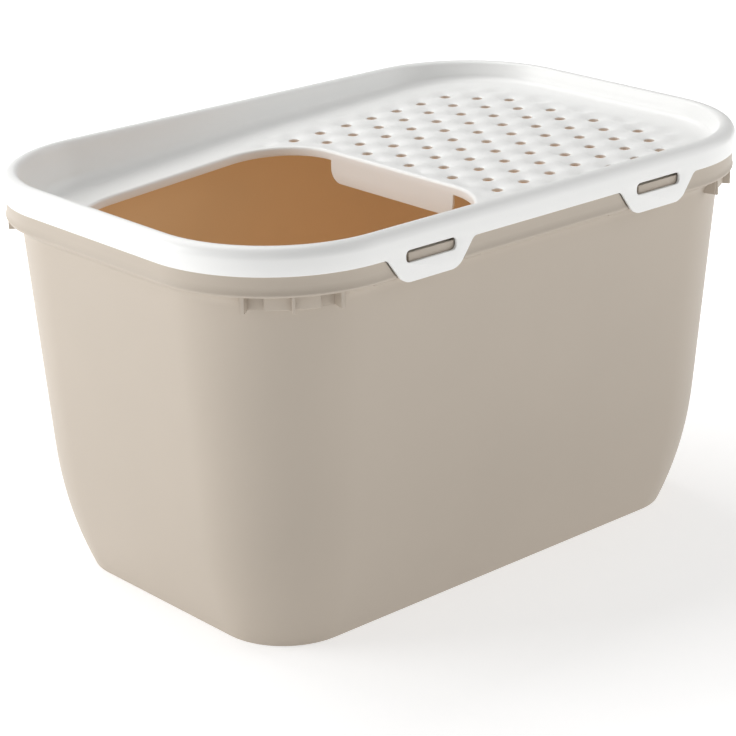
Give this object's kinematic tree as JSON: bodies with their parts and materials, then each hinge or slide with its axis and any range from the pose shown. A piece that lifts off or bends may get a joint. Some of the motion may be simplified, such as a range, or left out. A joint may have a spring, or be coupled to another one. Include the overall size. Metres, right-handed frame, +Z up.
{
  "type": "cat litter box",
  "caption": "Top-entry cat litter box: a deep tapered tub under a lift-off hood whose dished top has a large entry opening and a perforated deck, held by flexing side clips.",
  "frame": {"origin": "middle of the underside of the tub, on the floor", "axes": "+X along the length, from the entry end to the perforated end; +Y across the width; +Z up"},
  "size_m": [0.585, 0.39, 0.34],
  "materials": {
    "tub_plastic": "satin, fine moulded grain",
    "lid_plastic": "semi-gloss, smooth"
  },
  "bodies": {
    "tub": {"tub": "tub_plastic"},
    "lid": {"lid": "lid_plastic"},
    "clip_front_left": {"clip_front_left": "lid_plastic"},
    "clip_front_right": {"clip_front_right": "lid_plastic"},
    "clip_back_left": {"clip_back_left": "lid_plastic"},
    "clip_back_right": {"clip_back_right": "lid_plastic"}
  },
  "joints": [
    {"name": "lid_lift", "type": "slide", "parent": "tub", "child": "lid", "axis": [0, 0, 1], "range_m": [0, 0.15]},
    {"name": "flex_front_left", "type": "hinge", "parent": "lid", "child": "clip_front_left", "pos_m": [-0.125, -0.195, 0.326], "axis": [-1, 0, 0], "range_deg": [0, 12], "stiffness_Nm_per_rad": 0.3},
    {"name": "flex_front_right", "type": "hinge", "parent": "lid", "child": "clip_front_right", "pos_m": [0.125, -0.195, 0.326], "axis": [-1, 0, 0], "range_deg": [0, 12], "stiffness_Nm_per_rad": 0.3},
    {"name": "flex_back_left", "type": "hinge", "parent": "lid", "child": "clip_back_left", "pos_m": [-0.125, 0.195, 0.326], "axis": [1, 0, 0], "range_deg": [0, 12], "stiffness_Nm_per_rad": 0.3},
    {"name": "flex_back_right", "type": "hinge", "parent": "lid", "child": "clip_back_right", "pos_m": [0.125, 0.195, 0.326], "axis": [1, 0, 0], "range_deg": [0, 12], "stiffness_Nm_per_rad": 0.3}
  ]
}
